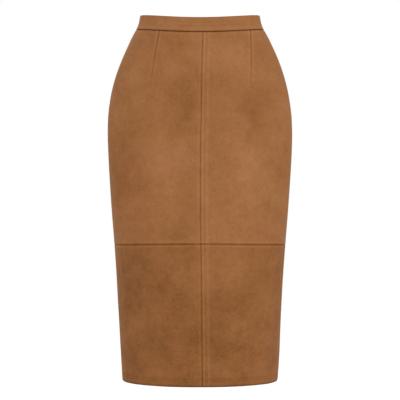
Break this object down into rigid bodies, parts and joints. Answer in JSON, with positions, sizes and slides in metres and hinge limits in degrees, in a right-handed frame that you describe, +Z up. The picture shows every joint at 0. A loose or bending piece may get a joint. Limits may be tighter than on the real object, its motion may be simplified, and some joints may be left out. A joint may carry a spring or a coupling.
{
  "type": "straight skirt",
  "caption": "Hollow high-waisted midi pencil skirt in suede cloth, with a waistband, front darts, a centre front seam, a knee seam, a back vent and a back zip.",
  "frame": {"origin": "middle of the waist opening, level with the top of the waistband at the side seams", "axes": "+Z up, out of the waist; the front of the skirt faces -Y; +X towards the wearer's left side"},
  "size_m": [0.3674, 0.228, 0.7288],
  "materials": {
    "suede_cloth": "tan suede cloth with a short soft nap",
    "zip_tape": "tan woven tape",
    "zip_lacquer": "tan lacquered zinc"
  },
  "bodies": {
    "skirt": {"waistband_front": "suede_cloth", "waistband_back_left": "suede_cloth", "waistband_back_right": "suede_cloth", "front_upper_left": "suede_cloth", "front_upper_right": "suede_cloth", "back_upper_left": "suede_cloth", "back_upper_right": "suede_cloth", "front_lower_left": "suede_cloth", "front_lower_right": "suede_cloth", "back_lower_left": "suede_cloth", "back_lower_right": "suede_cloth", "zip_tape_left": "zip_tape", "zip_tape_right": "zip_tape", "zip_slider": "zip_lacquer"},
    "zip_pull": {"zip_pull_tab": "zip_lacquer"}
  },
  "joints": [
    {"name": "zip_pull_hinge", "type": "hinge", "parent": "skirt", "child": "zip_pull", "pos_m": [0, 0.08852, -0.00984], "axis": [1, 0, 0], "range_deg": [0, 150]}
  ]
}
